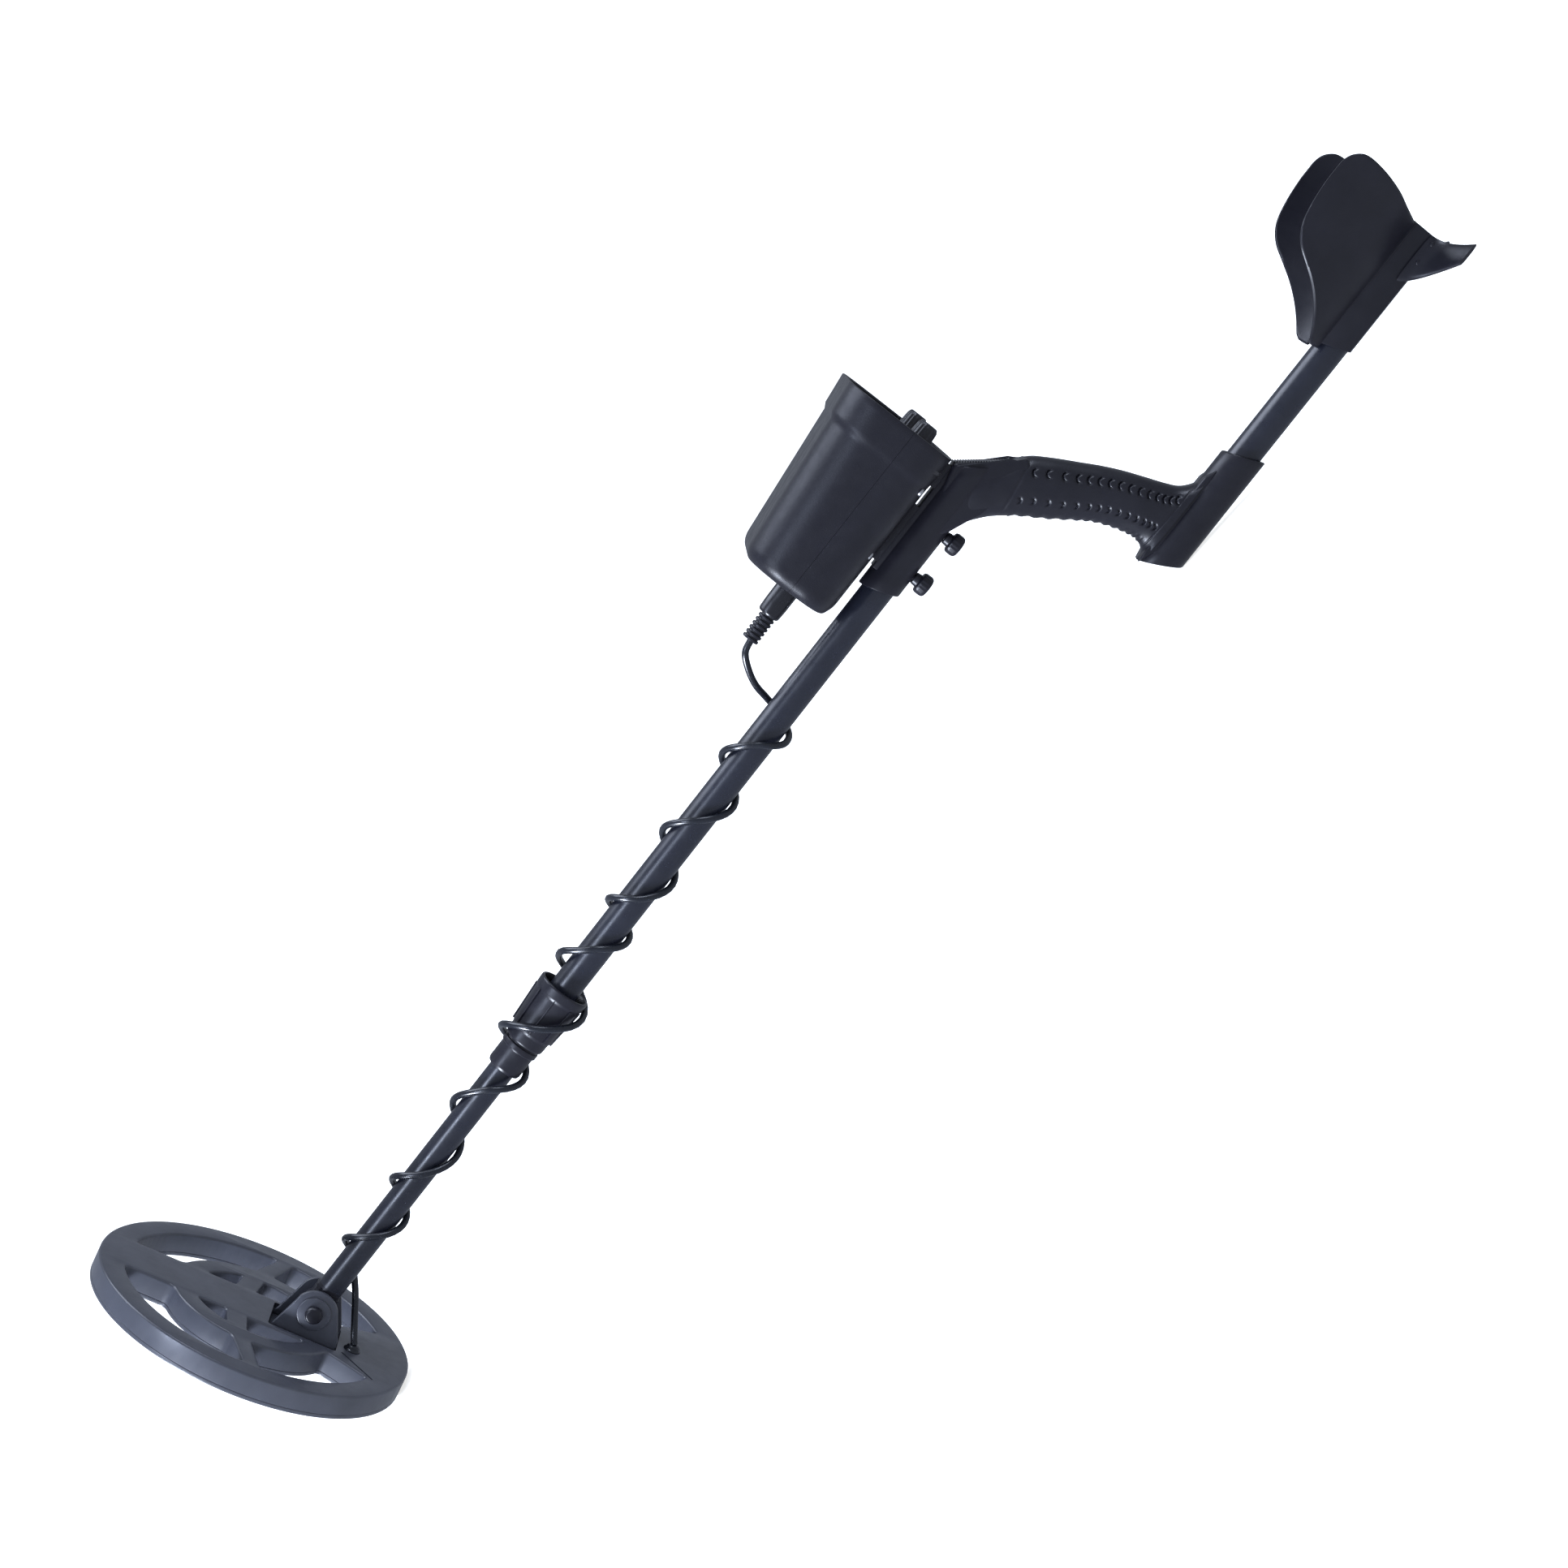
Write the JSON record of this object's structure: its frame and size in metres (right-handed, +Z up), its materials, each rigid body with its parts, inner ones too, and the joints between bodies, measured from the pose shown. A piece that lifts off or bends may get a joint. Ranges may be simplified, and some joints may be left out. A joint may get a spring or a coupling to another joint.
{
  "type": "metal detector",
  "caption": "Hand-held metal detector with a spoked search coil, telescoping stem, S-shaped grip, control housing and arm rest.",
  "frame": {"origin": "middle of the bounding box on the surface that the detector lies on", "axes": "+X from the search coil to the arm rest, +Z up, +Y to the right-hand side of a user who looks along the stem to the coil"},
  "size_m": [1.1594, 0.2344, 0.257],
  "materials": {
    "coil_plastic": "matt moulded plastic, slate black",
    "black_plastic": "satin moulded plastic, black",
    "housing_plastic": "finely textured moulded plastic, black",
    "panel_plastic": "smooth plastic, black",
    "knob_plastic": "satin plastic, black",
    "tube_finish": "satin black coated aluminium tube",
    "grip_rubber": "soft moulded rubber, black",
    "cable_black": "smooth cable sheath, black",
    "pale_nylon": "natural nylon",
    "copper": "enamelled copper winding",
    "brass": "turned brass",
    "steel": "plated steel",
    "clear_window": "clear acrylic",
    "dial_white": "printed dial card, off-white",
    "needle_red": "painted pointer, red",
    "switch_grey": "satin plastic, grey",
    "board_green": "circuit board, green",
    "speaker_black": "pressed steel basket and paper cone",
    "battery_case": "painted battery can"
  },
  "bodies": {
    "handle": {"middle_tube": "tube_finish", "lock_body": "black_plastic", "lock_collet": "pale_nylon", "handle_frame": "black_plastic", "grip_overmould": "grip_rubber", "thumb_rest": "grip_rubber", "clamp_nuts": "brass", "rear_tube": "tube_finish", "tube_cap": "black_plastic", "arm_cup": "black_plastic", "arm_stand": "black_plastic", "arm_screws": "steel", "housing_top": "housing_plastic", "housing_bottom": "housing_plastic", "housing_screws": "steel", "face_panel": "panel_plastic", "meter_case": "black_plastic", "meter_window": "clear_window", "meter_dial": "dial_white", "sensitivity_pot": "steel", "discrimination_pot": "steel", "mode_switch": "black_plastic", "circuit_board": "board_green", "board_parts": "black_plastic", "speaker": "speaker_black", "batteries": "battery_case", "coil_socket": "steel", "headphone_jack": "black_plastic", "coil_plug": "panel_plastic", "plug_boot": "grip_rubber", "cable_upper": "cable_black"},
    "lower_stem": {"stem_yoke": "black_plastic", "pivot_washers": "grip_rubber", "lower_tube": "tube_finish", "stem_bush": "pale_nylon", "cable_lower": "cable_black"},
    "coil": {"coil_shell": "coil_plastic", "coil_base": "black_plastic", "transmit_winding": "copper", "receive_winding": "copper", "coil_gland": "cable_black", "pivot_bolt": "black_plastic", "cable_tail": "cable_black"},
    "pivot_nut": {"pivot_nut": "black_plastic"},
    "lock_nut": {"lock_nut": "black_plastic"},
    "front_thumb_screw": {"front_thumb_screw": "black_plastic"},
    "rear_thumb_screw": {"rear_thumb_screw": "black_plastic"},
    "sensitivity_knob": {"sensitivity_knob": "knob_plastic"},
    "discrimination_knob": {"discrimination_knob": "knob_plastic"},
    "needle": {"meter_needle": "needle_red"},
    "switch_slider": {"switch_slider": "switch_grey"},
    "battery_door": {"battery_door": "housing_plastic"}
  },
  "joints": [
    {"name": "stem_slide", "type": "slide", "parent": "handle", "child": "lower_stem", "axis": [-0.9961, 0, -0.0885], "range_m": [-0.1, 0.12], "deforming": ["cable_lower", "cable_upper", "cable_tail"]},
    {"name": "coil_tilt", "type": "hinge", "parent": "lower_stem", "child": "coil", "pos_m": [-0.49903, 0, 0.08546], "axis": [0, 1, 0], "range_deg": [-65, 45], "deforming": ["cable_tail"]},
    {"name": "pivot_nut_turn", "type": "hinge", "parent": "coil", "child": "pivot_nut", "pos_m": [-0.49903, 0.02, 0.08546], "axis": [0, 1, 0], "continuous": true},
    {"name": "lock_turn", "type": "hinge", "parent": "handle", "child": "lock_nut", "pos_m": [-0.24005, 0, 0.10848], "axis": [0.9961, 0, 0.0885], "range_deg": [0, 90]},
    {"name": "front_screw_turn", "type": "hinge", "parent": "handle", "child": "front_thumb_screw", "pos_m": [0.16613, 0, 0.12451], "axis": [-0.0885, 0, 0.9961], "continuous": true},
    {"name": "rear_screw_turn", "type": "hinge", "parent": "handle", "child": "rear_thumb_screw", "pos_m": [0.20049, 0, 0.12756], "axis": [-0.0885, 0, 0.9961], "continuous": true},
    {"name": "sensitivity_turn", "type": "hinge", "parent": "handle", "child": "sensitivity_knob", "pos_m": [0.23395, -0.042, 0.1973], "axis": [0.9961, 0, 0.0885], "range_deg": [-140, 140]},
    {"name": "discrimination_turn", "type": "hinge", "parent": "handle", "child": "discrimination_knob", "pos_m": [0.23395, 0.042, 0.1973], "axis": [0.9961, 0, 0.0885], "range_deg": [-140, 140]},
    {"name": "needle_swing", "type": "hinge", "parent": "handle", "child": "needle", "pos_m": [0.2171, 0, 0.21739], "axis": [0.9961, 0, 0.0885], "range_deg": [-40, 40], "stiffness_Nm_per_rad": 0.0002},
    {"name": "mode_slide", "type": "slide", "parent": "handle", "child": "switch_slider", "axis": [0, 1, 0], "range_m": [-0.003, 0.003]},
    {"name": "battery_door_open", "type": "hinge", "parent": "handle", "child": "battery_door", "pos_m": [0.10734, 0.029, 0.16687], "axis": [0, -1, 0], "range_deg": [0, 90]}
  ]
}
